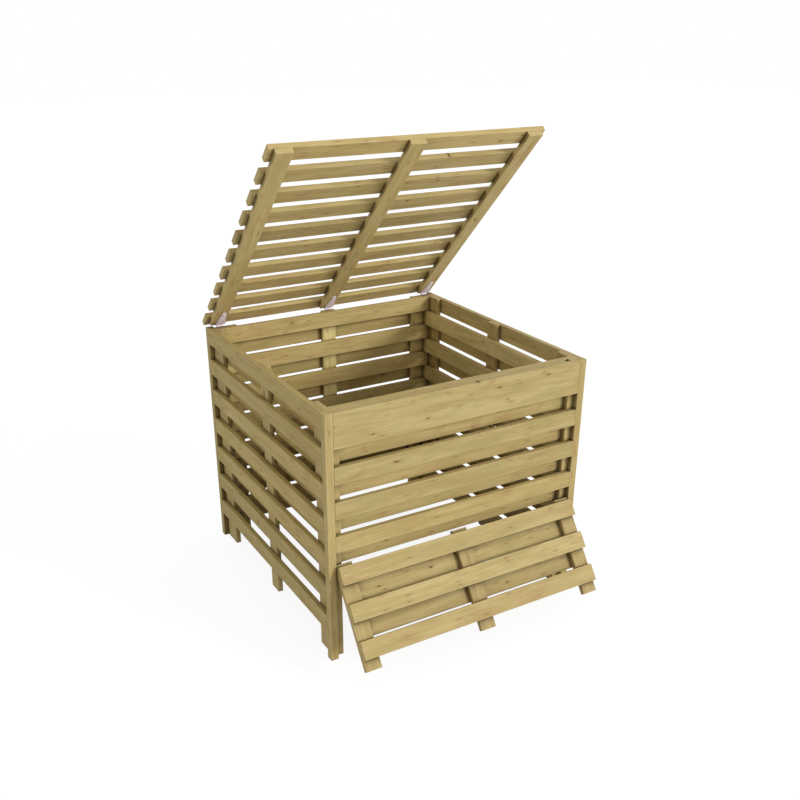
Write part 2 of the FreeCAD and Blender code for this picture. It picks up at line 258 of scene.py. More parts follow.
def boardGrainGroup():
    # grain of one board from its own coordinates: x runs along the fibres, y and z across them.
    # Rings are circles about the pith line, pushed about by slow noise and by the knots.
    knots = [f"Knot {letter}" for letter in "ABC"]
    group, given, result = newGroup(
        "boardGrain",
        [("Place", "Vector", None), ("Pith", "Vector", None)]
        + [(label, "Vector", (9, 9, 9)) for label in knots],
        ["Soft Streaks", "Fine Streaks", "Cloud", "Rings", "Fleck", "Blush", "Knot", "Knot Halo"],
    )
    knot = halo = 0.0
    for label in knots:
        away = vectorNode(group, "LENGTH", given[label]).outputs["Value"]
        knot = mathNode(group, "MAXIMUM", knot, rampNode(group, away, *grainLook["knotCore"], 1.0, 0.0))
        halo = mathNode(group, "MAXIMUM", halo, rampNode(group, away, *grainLook["knotHalo"], 1.0, 0.0))
    push = mathNode(group, "MULTIPLY", halo, grainLook["knotPush"])
    place = vectorNode(group, "ADD", given["Place"], newNode(group, "CombineXYZ", Y=push, Z=push))
    soft = stretchedNoise(group, place, grainLook["softStreaks"], 3.0, 0.55, 0.25)
    fine = stretchedNoise(group, place, grainLook["fineStreaks"], 3.0, 0.65)
    cloud = stretchedNoise(group, place, grainLook["cloud"], 3.0, 0.6, 0.5)
    wander = stretchedNoise(group, place, grainLook["slowWander"], 2.0, 0.5)
    across = vectorNode(group, "MULTIPLY", given["Pith"], (0, 1, 1))
    radius = vectorNode(group, "LENGTH", across).outputs["Value"]
    wandered = mathNode(group, "MULTIPLY_ADD", wander, grainLook["ringWander"], radius)
    turns = mathNode(group, "DIVIDE", mathNode(group, "ADD", wandered, push), grainLook["ringSpacing"])
    rings = mathNode(group, "POWER", mathNode(group, "FRACT", turns), grainLook["ringSharpness"])
    made = (soft, fine, cloud, rings, *fleckMasks(group, place), knot, halo)
    for entry, value in zip(result, made):
        feed(group, value, entry)
    return group


def edgeSheenGroup():
    # worn edges, lighter also as a painted highlight: the mesh's own edge mark, broken up by noise
    kinds = {"Edge": "Float", "Place": "Vector", "Grain Size": "Float", "Amount": "Float"}
    group, given, result = newGroup("edgeWearAndSheen", [(*kind, None) for kind in kinds.items()], ["Wear"])
    noise = newNode(
        group, "TexNoise", Vector=given["Place"], Scale=given["Grain Size"], Detail=3.0, Roughness=0.6
    )
    sharp = rampNode(group, given["Edge"], *grainLook["rubbedFrom"])
    patchy = rampNode(group, noise, *grainLook["rubbedPatch"])
    both = mathNode(group, "MULTIPLY", sharp, patchy)
    feed(group, mathNode(group, "MULTIPLY", both, given["Amount"]), result["Wear"])
    return group


def underShadeGroup():
    # mask of painted shadow: 1 in the open, 0 close under a board that stands out above: the occlusion is
    # felt for round a direction tilted upwards, and less so the more the face itself looks down
    group, given, result = newGroup("underShade", [("Reach", "Float", None)], ["Open"])
    normal = newNode(group, "NewGeometry").outputs["Normal"]
    level = mathNode(group, "ADD", newNode(group, "SeparateXYZ", normal).outputs[2], 1.0)
    lift = mathNode(group, "MULTIPLY", level, grainLook["ledgeLift"])
    tilted = vectorNode(group, "ADD", normal, newNode(group, "CombineXYZ", Z=lift))
    unit = vectorNode(group, "NORMALIZE", tilted)
    near = newNode(group, "AmbientOcclusion", samples=12, Normal=unit, Distance=given["Reach"])
    feed(group, rampNode(group, near.outputs["AO"], *grainLook["ledgeOpen"]), result["Open"])
    return group


boardGrain = boardGrainGroup()
edgeWearAndSheen = edgeSheenGroup()
underShade = underShadeGroup()


def finishMaterial(tree, look, color, rougher, height, **values):
    # the surface of this colour, rougher where this is 1, with this relief
    roughness = mathNode(tree, "MULTIPLY_ADD", rougher, look["roughMore"], look["roughness"])
    bump = newNode(tree, "Bump", Strength=look["bumpStrength"], Distance=look["bumpHeight"], Height=height)
    shader = newNode(tree, "BsdfPrincipled", Base_Color=color, Roughness=roughness, Normal=bump, **values)
    newNode(tree, "OutputMaterial", shader)


def wornAndSheenEdges(tree, look, place):
    # the lighter share of the mesh's edges, partly wear and partly painted highlight
    return newNode(
        tree, "Group", node_tree=edgeWearAndSheen, Place=place,
        Edge=newNode(tree, "Attribute", attribute_name="edge").outputs["Fac"],
        Grain_Size=look["rubbedSize"], Amount=look["rubbedShare"],
    )


woodLook = {
    "pale": srgb(200, 179, 122),
    "straw": srgb(184, 161, 104),
    "strawFrom": (0.34, 0.7),  # where in the soft streaks
    "green": srgb(172, 162, 98),
    "greenFrom": (0.5, 0.3),  # where in the cloud, and how much at most
    "greenShare": 0.42,
    "brown": srgb(170, 134, 84),
    "brownFrom": (0.56, 0.76),
    "brownShare": 0.55,
    "ringLine": srgb(160, 134, 80),
    "fineFrom": (0.5, 0.75),
    "fineShare": 0.6,
    "fleck": srgb(122, 86, 50),
    "blush": srgb(168, 132, 80),
    "blushShare": 0.75,  # of the fleck's own amount
    "endGrain": srgb(192, 170, 116),
    "endShare": 0.6,
    "knot": srgb(92, 64, 34),
    "halo": srgb(160, 124, 70),
    "haloShare": 0.45,
    # lighter edges: wear, and a painted highlight
    "rubbedSheen": srgb(208, 190, 138),
    "rubbedSize": 38,
    "rubbedShare": 0.4,
    "ledgeShade": srgb(112, 104, 82),  # painted shadow: what is left of the colour close under a board that stands out above
    "ledgeReach": 0.042,
    "seamShade": srgb(160, 153, 130),  # painted shade: the same for the dark line in the joints and creases between boards
    "seamReach": 0.01,
    "damp": srgb(160, 153, 116),  # painted shade: the same low down on the faces that look into the bin
    "roughness": 0.62,
    "roughMore": 0.3,  # in the fine streaks
    "specular": 0.3,
    "bumpStrength": 0.35,
    "bumpHeight": 0.0006,
    "bumpRings": -0.5,
    "bumpKnot": -0.6,
}


def woodMaterial(name, ringAmount, fleckAmount):
    # planed, impregnated pine
    look = woodLook
    made, tree = newMaterial(name)
    place, pith, knotA, knotB, knotC = (
        newNode(tree, "Attribute", attribute_name=label).outputs["Vector"]
        for label in ("place", "pith", "knotA", "knotB", "knotC")
    )
    cutEnd, damp = (
        newNode(tree, "Attribute", attribute_name=label).outputs["Fac"] for label in ("cutEnd", "damp")
    )
    tone = newNode(tree, "Attribute", attribute_name="tone").outputs["Color"]
    grain = newNode(
        tree, "Group", node_tree=boardGrain, Place=place, Pith=pith, Knot_A=knotA, Knot_B=knotB,
        Knot_C=knotC,
    ).outputs
    straw = rampNode(tree, grain["Soft Streaks"], *look["strawFrom"])
    green = rampNode(tree, grain["Cloud"], *look["greenFrom"], 0.0, look["greenShare"])
    brown = rampNode(tree, grain["Cloud"], *look["brownFrom"], 0.0, look["brownShare"])
    fine = rampNode(tree, grain["Fine Streaks"], *look["fineFrom"], 0.0, look["fineShare"])
    color = look["pale"]
    for share, layer in (
        (straw, "straw"),
        (green, "green"),
        (brown, "brown"),
        (mathNode(tree, "MULTIPLY", grain["Rings"], ringAmount), "ringLine"),
        (fine, "ringLine"),
        (mathNode(tree, "MULTIPLY", grain["Blush"], look["blushShare"] * fleckAmount), "blush"),
        (mathNode(tree, "MULTIPLY", grain["Fleck"], fleckAmount), "fleck"),
        (mathNode(tree, "MULTIPLY", cutEnd, look["endShare"]), "endGrain"),
        (mathNode(tree, "MULTIPLY", grain["Knot Halo"], look["haloShare"]), "halo"),
        (grain["Knot"], "knot"),
        (wornAndSheenEdges(tree, look, place), "rubbedSheen"),
    ):
        color = mixColor(tree, share, color, look[layer])
    color = mixColor(tree, 1.0, color, tone, "MULTIPLY")
    # painted shade: the wood darkens in the joints, close under boards that stand out above, and low down
    # inside the bin
    near = newNode(tree, "AmbientOcclusion", samples=8, Distance=look["seamReach"]).outputs["AO"]
    ledgeShade = newNode(tree, "Group", node_tree=underShade, Reach=look["ledgeReach"])
    for layer, unshaded in (("seamShade", near), ("ledgeShade", ledgeShade), ("damp", mathNode(tree, "SUBTRACT", 1.0, damp))):
        color = mixColor(tree, 1.0, color, mixColor(tree, unshaded, look[layer], (1, 1, 1, 1)), "MULTIPLY")
    ridges = mathNode(tree, "MULTIPLY_ADD", grain["Rings"], look["bumpRings"], grain["Fine Streaks"])
    height = mathNode(tree, "MULTIPLY_ADD", grain["Knot"], look["bumpKnot"], ridges)
    finishMaterial(tree, look, color, fine, height, Specular_IOR_Level=look["specular"])
    return made


metalLook = {
    "zinc": srgb(253, 240, 252),
    "dull": srgb(208, 200, 212),
    "dullFrom": (0.35, 0.7),  # where in the spangle
    # brighter edges: wear, and a painted highlight
    "rubbedSheen": srgb(250, 246, 250),
    "rubbedSize": 400,
    "rubbedShare": 0.7,
    "spangle": 170.0,
    "roughness": 0.42,
    "roughMore": 0.25,  # where it is dull
    "metallic": 0.06,  # dull zinc is chalky, so it takes its light much as a pale paint does
    "bumpStrength": 0.2,
    "bumpHeight": 0.0002,
}


def metalMaterial(name, brightness):
    # zinc-plated steel with faint cloudy spangle and brighter edges, partly wear and partly painted
    # highlight
    made, tree = newMaterial(name)
    place = newNode(tree, "TexCoord").outputs["Object"]
    cloud = newNode(
        tree, "TexNoise", Vector=place, Scale=metalLook["spangle"], Detail=4.0, Roughness=0.6
    )
    dull = rampNode(tree, cloud, *metalLook["dullFrom"], 0.0, 1.0 - brightness)
    color = mixColor(tree, dull, metalLook["zinc"], metalLook["dull"])
    color = mixColor(tree, wornAndSheenEdges(tree, metalLook, place), color, metalLook["rubbedSheen"])
    finishMaterial(tree, metalLook, color, dull, cloud, Metallic=metalLook["metallic"])
    return made


woods = {
    "bin": woodMaterial("pineWalls", ringAmount=0.3, fleckAmount=0.42),
    "lid": woodMaterial("pineLid", ringAmount=0.32, fleckAmount=0.45),
    "hatch": woodMaterial("pineHatch", ringAmount=0.28, fleckAmount=0.4),
}
hingeZinc = metalMaterial("zincHinge", brightness=0.9)
screwZinc = metalMaterial("zincScrew", brightness=0.55)
print("materials ready")

boardLook = {
    "edgeRadius": 0.0016,
    "sharpRadius": 0.0003,  # an edge in a nearly closed joint or a rebate
    "endRadius": 0.0013,
    "arcSteps": 4,
    "edgeBand": 0.003,  # how far the worn look and painted edge highlight reach in from an edge
    "stationStep": 0.03,
    "waver": 0.00022,  # most that a planed face falls inside its true plane
    "ripples": [(7.1, 1.0, 1), (17.3, 0.7, -2), (41.0, 0.4, 3)],  # pace along, share, turns around
    "rippleSpan": 4.2,
    "toneSpread": 0.045,
    "warmShare": 0.3,  # of the spread, from bluer to redder
    "shadeTop": 0.74,  # the painted shade inside the bin darkens it from this height
    "shadeFull": 0.28,  # down to this one
    "levelShade": 0.5,  # share that a level face takes, where it is not out at a wall
    "wallFrom": 0.48,
    "knotDepth": 0.03,
    "knotReach": (0.46, 0.4),  # of the board's length and width, either way from its middle
    "knotHalf": (0.004, 0.009),
    "knotSlim": (0.3, 0.7),
    "grainShift": (3, 40),
    "pithAway": 0.03,  # behind or in front of the board's middle
    "pithSpread": (5, 0.05, 0.03),
}
draw = np.random.default_rng(41)


def roundedOutline(corners, radii):
    # outline of a board's section: straight runs and arcs about each corner.
    # arc point = corner - s r (n0 + n1) + s r (n0 cos t + n1 sin t), with s = 1 where the corner
    # stands out and -1 where it goes in, n0 and n1 the outward directions of the two sides
    corners, radii = np.array(corners, float), np.array(radii, float)
    ahead = np.roll(corners, -1, axis=0) - corners
    runs = ahead / np.linalg.norm(ahead, axis=1, keepdims=True)
    normals = np.stack([runs[:, 1], -runs[:, 0]], axis=1)
    before = np.roll(normals, 1, axis=0)
    back = np.roll(runs, 1, axis=0)
    out = np.sign(back[:, 0] * runs[:, 1] - back[:, 1] * runs[:, 0])
    steps = boardLook["arcSteps"] + 1
    bend = np.linspace(0, math.pi / 2, steps)[None, :, None]
    arcNormals = np.cos(bend) * before[:, None] + np.sin(bend) * normals[:, None]
    reach = (out * radii)[:, None]
    middles = corners - reach * (before + normals)
    arcs = middles[:, None] + reach[:, :, None] * arcNormals
    starts, stops = arcs[:, -1], np.roll(arcs[:, 0], -1, axis=0)
    length = np.linalg.norm(stops - starts, axis=1, keepdims=True)
    band = np.minimum(boardLook["edgeBand"], 0.3 * length)
    flats = np.stack([starts + band * runs, stops - band * runs], axis=1)
    flatNormals = np.repeat(normals[:, None], 2, axis=1)
    onArc = np.tile(np.r_[np.ones(steps), 0, 0], len(corners))
    return {
        "points": np.concatenate([arcs, flats], axis=1).reshape(-1, 2),
        "normals": np.concatenate([arcNormals, flatNormals], axis=1).reshape(-1, 2),
        "edge": onArc,
        "shrinks": (onArc > 0) & (np.repeat(out, steps + 2) > 0),
        "radius": np.repeat(radii, steps + 2),
        "diagonal": np.repeat(before + normals, steps + 2, axis=0),
    }


def gridFaces(rings, ring, closed=False):
    # quads between rings of points; the rings close on themselves, or are capped at both ends
    rows, columns = np.meshgrid(np.arange(rings if closed else rings - 1), np.arange(ring), indexing="ij")
    after, right = (rows + 1) % rings, (columns + 1) % ring
    corners = [rows * ring + columns, rows * ring + right, after * ring + right, after * ring + columns]
    faces = np.stack(corners, axis=-1).reshape(-1, 4).tolist()
    if not closed:
        faces += [np.arange(ring)[::-1].tolist(), ((rings - 1) * ring + np.arange(ring)).tolist()]
    return faces


def sweptBoard(outline, length, seed):
    # the section carried along the board: point(u, i) = section(i) - inset(u) n(i), at height u.
    # Near an end the inset follows a quarter circle, and one more ring lies on the cut end.
    # Between the ends the inset is a sum of slow sines along and around the board.
    radius, band = boardLook["endRadius"], boardLook["edgeBand"]
    bend = np.linspace(0, math.pi / 2, boardLook["arcSteps"] + 1)
    nearU = np.r_[0, radius * (1 - np.cos(bend)), radius + band]
    nearInset = np.r_[radius + band, radius * (1 - np.sin(bend)), 0]
    nearLean = np.r_[1, np.cos(bend), 0]
    nearEdge = np.r_[0, np.ones(len(bend)), 0]
    count = max(2, round(length / boardLook["stationStep"]))
    middleU = np.linspace(radius + band, length - radius - band, count)[1:-1]
    flat = np.zeros(len(middleU))
    u = np.concatenate([nearU, middleU, length - nearU[::-1]])
    inset = np.concatenate([nearInset, flat, nearInset[::-1]])
    lean = np.concatenate([-nearLean, flat, nearLean[::-1]])
    edge = np.concatenate([nearEdge, flat, nearEdge[::-1]])
    body = np.concatenate([np.zeros(len(nearU)), np.ones(len(middleU)), np.zeros(len(nearU))])
    ring = len(outline["points"])
    phases = np.random.default_rng(seed).uniform(0, 6.283, 4)
    around = np.linspace(0, 2 * math.pi, ring, endpoint=False)[None, :]
    wave = sum(
        share * np.sin(u[:, None] * pace + phase + turns * around)
        for (pace, share, turns), phase in zip(boardLook["ripples"], phases)
    )
    waver = boardLook["waver"] * (0.5 + wave / boardLook["rippleSpan"]) * body[:, None]
    shrink = inset[:, None] + waver
    # an arc can shrink only to a very small one; past that the whole corner moves in
    smallest = boardLook["sharpRadius"] / 2
    arcShrink = np.where(outline["shrinks"], np.minimum(shrink, outline["radius"] - smallest), shrink)
    section = outline["points"][None] - arcShrink[..., None] * outline["normals"][None]
    section -= (shrink - arcShrink)[..., None] * outline["diagonal"][None]
    spread = np.sqrt(1 - lean**2)
    points = np.concatenate([np.repeat(u[:, None, None], ring, axis=1), section], axis=2)
    ownNormals = spread[:, None, None] * outline["normals"][None]
    normals = np.concatenate([np.repeat(lean[:, None, None], ring, axis=1), ownNormals], axis=2)
    sideEdge = outline["edge"][None] * (1 - np.abs(lean[:, None]) ** 4)
    return {
        "points": points.reshape(-1, 3),
        "normals": normals.reshape(-1, 3),
        "edge": np.maximum(edge[:, None], sideEdge).ravel(),
        "cutEnd": np.repeat(np.abs(lean)[:, None], ring, axis=1).ravel(),
        "faces": gridFaces(len(u), ring),
    }


def rectangle(width, thick, radii=None):
    # section of a plain board about its middle, and the radius of each corner
    half, deep = width / 2, thick / 2
    corners = [(-half, -deep), (half, -deep), (half, deep), (-half, deep)]
    return roundedOutline(corners, radii or [boardLook["edgeRadius"]] * 4)


def insideShadeAmount(points, normals):
    # painted shade inside the bin: how much a face looks into the bin, times how low it is:
    # d = -(x^5 nx + y^5 ny) / |(x^5, y^5)|, where the high power picks the wall that the point belongs to
    outward = points[:, :2] ** 5
    outward /= np.linalg.norm(outward, axis=1, keepdims=True) + 1e-9
    facing = np.clip(-(outward * normals[:, :2]).sum(axis=1), 0, 1)
    inside = np.abs(points[:, :2]).max(axis=1) < boardLook["wallFrom"]
    facing = np.maximum(facing, boardLook["levelShade"] * np.abs(normals[:, 2]) * inside)
    top, full = boardLook["shadeTop"], boardLook["shadeFull"]
    return facing * np.clip((top - points[:, 2]) / (top - full), 0, 1)


def boardMarks(board, own, ownDraw, lightness, tint):
    # what the material needs at each point: the place in the wood and from the pith, the worn
    # edges, the cut ends, the tone, and the distance from each knot in the knot's own half sizes
    count, spread = len(own), boardLook["toneSpread"]
    shift = ownDraw.uniform(*boardLook["grainShift"], 3)
    pithSide = math.copysign(boardLook["pithAway"], ownDraw.uniform(-1, 1))
    pith = ownDraw.uniform(-1, 1, 3) * boardLook["pithSpread"] + (0, 0, pithSide)
    tone = lightness * (1 + spread * ownDraw.uniform(-1, 1))
    warm = 1 + boardLook["warmShare"] * spread * ownDraw.uniform(-1, 1)
    color = tone * np.array(tint) * (warm, 1, 1 / warm)
    marks = {
        "place": own + shift,
        "pith": own + pith,
        "edge": board["surface"]["edge"],
        "cutEnd": board["surface"]["cutEnd"] * board["endsCut"],
        "tone": np.tile((*color, 1.0), (count, 1)),
    }
    for index, letter in enumerate("ABC"):
        marks[f"knot{letter}"] = np.full((count, 3), 9.0)
        if index < len(board["knots"]):
            spot, half = board["knots"][index]
            marks[f"knot{letter}"] = (own - spot) / half
    return marks


# the lid and the hatch are made in their shut place, then turned to where they stand open
joints = {joint["name"]: joint for joint in frame["joints"]}


def openPose(jointName):
    # turn of a body from shut to rest: the joint's lower limit, read backwards, about its axis
    joint = joints[jointName]
    angle = math.radians(-joint["range_deg"][0])
    return np.array(Matrix.Rotation(angle, 3, joint["axis"])), np.array(joint["pos_m"], float)


poses = {
    "bin": (np.eye(3), np.zeros(3)),
    "lid": openPose("lid_hinge"),
    "hatch": openPose("hatch_hinge"),
}


def shutBox(node, body):
    # lowest and highest corner of a CAD part once its body is turned back to shut
    turn, pivot = poses[body]
    mesh = frame["nodes"][node].data
    co = np.zeros(len(mesh.vertices) * 3, np.float32)
    mesh.vertices.foreach_get("co", co)
    back = (co.reshape(-1, 3).astype(float) - pivot) @ turn + pivot
    return back.min(axis=0), back.max(axis=0)


def joined(surfaces, body):
    # points, faces and marks of several surfaces as one, turned with their hinge
    turn, pivot = poses[body]
    starts = np.cumsum([0] + [len(surface["points"]) for surface in surfaces])
    points = np.concatenate([surface["points"] for surface in surfaces])
    faces = [
        [index + start for index in face]
        for surface, start in zip(surfaces, starts)
        for face in surface["faces"]
    ]
    marks = {
        label: np.concatenate([surface["marks"][label] for surface in surfaces])
        for label in surfaces[0]["marks"]
    }
    return (points - pivot) @ turn.T + pivot, faces, marks


def newMesh(name, points, faces, marks, material):
    mesh = bpy.data.meshes.new(name)
    mesh.from_pydata(points.tolist(), [], faces)
    mesh.polygons.foreach_set("use_smooth", np.ones(len(mesh.polygons), bool))
    kinds = {"edge": "FLOAT", "cutEnd": "FLOAT", "damp": "FLOAT", "tone": "FLOAT_COLOR"}
    fields = {"FLOAT": "value", "FLOAT_COLOR": "color", "FLOAT_VECTOR": "vector"}
    for label, values in marks.items():
        kind = kinds.get(label, "FLOAT_VECTOR")
        mark = mesh.attributes.new(label, kind, "POINT")
        mark.data.foreach_set(fields[kind], values.astype(np.float32).ravel())
    mesh.update()
    mesh.materials.append(material)
    return mesh


def addPiece(name, mesh, node, body):
    # the mesh as a piece that stands for a CAD part
    made = bpy.data.objects.new(name, mesh)
    scene.collection.objects.link(made)
    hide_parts(node)
    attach(made, body)


def buildPiece(node, boards, body, lightness=1.0, tint=(1, 1, 1)):
    # joins one or more boards, each laid in its place and given its marks
    name = node + "Board"
    surfaces = []
    ownDraw = np.random.default_rng(list(name.encode()))
    for board, boardLightness in zip(boards, np.broadcast_to(lightness, len(boards))):
        surface, axes = board["surface"], np.array(board["axes"], float)
        local = surface["points"] - (board["length"] / 2, 0, 0)
        marks = boardMarks(board, local[:, board["order"]], ownDraw, boardLightness, tint)
        marks["normal"] = surface["normals"] @ axes
        points = local @ axes + board["middle"]
        surfaces.append({"points": points, "faces": surface["faces"], "marks": marks})
    points, faces, marks = joined(surfaces, body)
    normals = marks.pop("normal") @ poses[body][0].T
    marks["damp"] = insideShadeAmount(points, normals) if body == "bin" else np.zeros(len(points))
    mesh = newMesh(name, points, faces, marks, woods[body])
    mesh.normals_split_custom_set_from_vertices(normals.tolist())
    addPiece(name, mesh, node, body)


def knotsFor(middle, axes, own, size, some):
    # knots given as places in the shut frame, or a few drawn at random; each spot is in the
    # board's own fibre coordinates, with its half length, half width and half depth
    found = []
    for place, long, wide in own:
        spot = (np.array(place) - middle) @ np.array(axes).T
        found.append((spot, (long, wide, boardLook["knotDepth"])))
    if some and not own:
        farAlong, farAcross = boardLook["knotReach"]
        for _ in range(int(draw.integers(0, 2))):
            along = draw.uniform(-farAlong, farAlong) * size[0]
            side = draw.uniform(-farAcross, farAcross) * size[1]
            deep = math.copysign(size[2] / 2, draw.uniform(-1, 1))
            long = draw.uniform(*boardLook["knotHalf"])
            wide = long * draw.uniform(*boardLook["knotSlim"])
            found.append((np.array([along, side, deep]), (long, wide, boardLook["knotDepth"])))
    return found


def boardFrom(outline, size, axes, middle, knots=(), some=False, order=(0, 1, 2), endsCut=1.0):
    # a board of this size along, across and through it: its surface, where it lies, its knots, and
    # which of its own directions the fibres follow
    return {
        "surface": sweptBoard(outline, size[0], int(draw.integers(1, 10**6))),
        "length": size[0],
        "axes": axes,
        "middle": middle,
        "order": list(order),
        "endsCut": endsCut,
        "knots": knotsFor(middle, axes, knots, size, some),
    }


def plainBoard(low, high, knots=(), some=True, radii=None):
    # a straight board between two corners: it runs along its longest side
    low, high = np.array(low, float), np.array(high, float)
    size = high - low
    along = int(np.argmax(size))
    others = [axis for axis in range(3) if axis != along]
    wide, thin = sorted(others, key=lambda axis: -size[axis])
    axes = np.zeros((3, 3))
    axes[0, along] = axes[1, wide] = 1
    axes[2] = np.cross(axes[0], axes[1])
    size = size[[along, wide, thin]]
    return boardFrom(rectangle(size[1], size[2], radii), size, axes, (low + high) / 2, knots, some)


def stackedBoards(low, high, count, height):
    # equal boards one above the other, spread evenly from the lowest to the highest
    rise = (high[2] - low[2] - height) / (count - 1)
    boards = []
    for level in range(count):
        bottom, top = np.array(low, float), np.array(high, float)
        bottom[2] = low[2] + level * rise
        top[2] = bottom[2] + height
        boards.append(plainBoard(bottom, top))
    return boards


# stacks of slats: how light each board is beside the rest, from the lowest up. The inner slats of the
# right and back walls are made lighter, as painted light for the light that falls inside the bin. The wood
# of the shaded left wall is a little greener, which paints the colour of its shade, and that of the right
# wall a little greyer.
stackLook = {
    "slatHeight": 0.06,
    "lightness": {
        "left_outer_slats": [0.93, 0.93, 0.97, 1.02, 1.0, 0.95, 0.9],
        "right_outer_slats": [1.06] * 7,
        "left_inner_slats": [1.04] * 7,
        "right_inner_slats": [1.36] * 7,
        "back_inner_slats": [1.15] * 7,
        "back_outer_slats": [1.06] * 7,
    },
    "tint": {"left": (1, 1, 0.88), "right": (1, 1.05, 1.14), "back": (1, 1, 1)},
}
for node, lightness in stackLook["lightness"].items():
    boards = stackedBoards(*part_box(node), len(lightness), stackLook["slatHeight"])
    buildPiece(node, boards, "bin", lightness, stackLook["tint"][node.split("_")[0]])

# front wall: small dark knots, each at a place on the board, with its half length and half width.
# The top two slats meet in a nearly closed joint, so their edges there are sharp.
eased, sharp = boardLook["edgeRadius"], boardLook["sharpRadius"]
frontLook = {
    "slats": 5,
    "slatHeight": 0.06,
    "slatPitch": 0.12,
    "boardThick": 0.0185,
    "edges": {
        "front_slat_1": [sharp, eased, eased, sharp],
        "front_slat_2": [eased, sharp, sharp, eased],
    },
    "lightness": {"front_slat_3": 0.95, "front_slat_5": 1.05},
    "innerLightness": 1.06,
    "knots": {
        "front_slat_1": [
            ((0.3385, -0.4985, 0.8591), 0.008, 0.0022),
            ((0.1362, -0.4985, 0.8502), 0.008, 0.0022),
            ((0.0525, -0.4885, 0.884), 0.006, 0.002),
        ],
        "front_slat_2": [
            ((0.1717, -0.4985, 0.803), 0.004, 0.0018),
            ((-0.1382, -0.4985, 0.7991), 0.007, 0.0024),
            ((-0.3363, -0.4985, 0.7881), 0.009, 0.0022),
        ],
        "front_slat_3": [((-0.2528, -0.4985, 0.6754), 0.012, 0.003)],
    },
    "innerKnots": {0: [((-0.2695, -0.4615, 0.3782), 0.008, 0.0025)]},
}
for number in range(1, frontLook["slats"] + 1):
    node = f"front_slat_{number}"
    knots, radii = frontLook["knots"].get(node, ()), frontLook["edges"].get(node)
    board = plainBoard(*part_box(node), knots, some=False, radii=radii)
    buildPiece(node, [board], "bin", frontLook["lightness"].get(node, 1.0))

# behind the front slats: four in the gaps, one at the rim, and the rail that closes the rim
low, high = (np.array(corner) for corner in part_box("front_inner_slats"))
slatFront = low[1] + frontLook["boardThick"]
innerBoards = []
for level in range(frontLook["slats"]):
    bottom = low[2] + level * frontLook["slatPitch"]
    top = bottom + frontLook["slatHeight"]
    knots = frontLook["innerKnots"].get(level, ())
    board = plainBoard((low[0], slatFront, bottom), (high[0], high[1], top), knots, some=False)
    innerBoards.append(board)
railLow = (low[0], low[1], high[2] - frontLook["slatHeight"])
railHigh = (high[0] - frontLook["boardThick"], slatFront, high[2])
innerBoards.append(plainBoard(railLow, railHigh, some=False))
buildPiece("front_inner_slats", innerBoards, "bin", frontLook["innerLightness"])

# the back battens, the middle one most, are made lighter: painted light that offsets the painted shade under
# the slats
uprightLook = {
    "lightness": 1.04,
    "backBattens": {"back_batten_left": 1.05, "back_batten_middle": 1.6, "back_batten_right": 1.42},
    "tint": {"back_batten_middle": (1, 1.1, 1.18)},
}
uprights = [f"corner_post_{end}_{side}" for end in ("front", "back") for side in ("left", "right")]
uprights += [f"{side}_batten_{place}" for side in ("left", "right") for place in ("front", "middle", "back")]
uprights += list(uprightLook["backBattens"])
for node in uprights:
    lightness = uprightLook["backBattens"].get(node, uprightLook["lightness"])
    tint = uprightLook["tint"].get(node, (1, 1, 1))
    buildPiece(node, [plainBoard(*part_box(node))], "bin", lightness, tint)

# the back left strip's warmer tint paints the colour of the shade it stands in
trimLook = {
    "rebate": 0.009,
    "lightness": {"front_left": 1.07, "front_right": 1.05, "back_left": 0.86, "back_right": 1.0},
    "tint": {"back_left": (1, 1, 0.9)},
}


def trimStrip(low, high):
    # corner strip: a square section less the rebate where the post's corner sits
    size, middle = high - low, (low + high) / 2
    side, depth = np.sign(middle[:2])
    half, deep, cut = size[0] / 2, size[1] / 2, trimLook["rebate"]
    # for the left front strip the rebate is at the right back; the others are its mirror images
    corners = np.array([
        (-half, -deep), (half, -deep), (half, deep - cut),
        (half - cut, deep - cut), (half - cut, deep), (-half, deep),
    ])
    corners *= (-side, -depth)
    radii = np.array([eased, eased, eased, sharp, eased, eased])
    if side * depth < 0:  # one mirror turns the outline round, so it is read backwards
        corners, radii = corners[::-1], radii[::-1]
    axes = np.array([(0, 0, 1), (1, 0, 0), (0, 1, 0)], float)
    return boardFrom(roundedOutline(corners, radii), size[[2, 0, 1]], axes, middle, some=True)


for corner, lightness in trimLook["lightness"].items():
    node = "corner_trim_" + corner
    board = trimStrip(*(np.array(end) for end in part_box(node)))
    buildPiece(node, [board], "bin", lightness, trimLook["tint"].get(corner, (1, 1, 1)))
print("bin boards ready")

# the battens, the middle one most, are made lighter as painted light, and slat 5 darker as painted shade
# beside the middle batten
lidLook = {
    "slats": 10,
    "slatLightness": 1.03,
    "battenLightness": 1.12,
    "lightness": {"lid_slat_1": 1.12, "lid_slat_3": 0.98, "lid_slat_5": 0.87, "lid_batten_middle": 1.18},
    "knots": {
        "lid_slat_2": [((0.17, -0.3943, 0.905), 0.006, 0.003)],
        "lid_slat_5": [((0.2435, -0.0861, 0.905), 0.005, 0.004)],
        "lid_slat_6": [((-0.1298, 0.0364, 0.905), 0.003, 0.002)],
        "lid_slat_9": [((-0.2178, 0.3234, 0.905), 0.006, 0.0045)],
        "lid_batten_right": [((0.4522, -0.0301, 0.8865), 0.005, 0.005)],
    },
}
lidNodes = {f"lid_slat_{number}": "slat" for number in range(1, lidLook["slats"] + 1)}
lidNodes |= {f"lid_batten_{place}": "batten" for place in ("left", "middle", "right")}
for node, kind in lidNodes.items():
    board = plainBoard(*shutBox(node, "lid"), lidLook["knots"].get(node, ()), some=kind == "slat")
    buildPiece(node, [board], "lid", lidLook["lightness"].get(node, lidLook[kind + "Lightness"]))
print("lid ready")

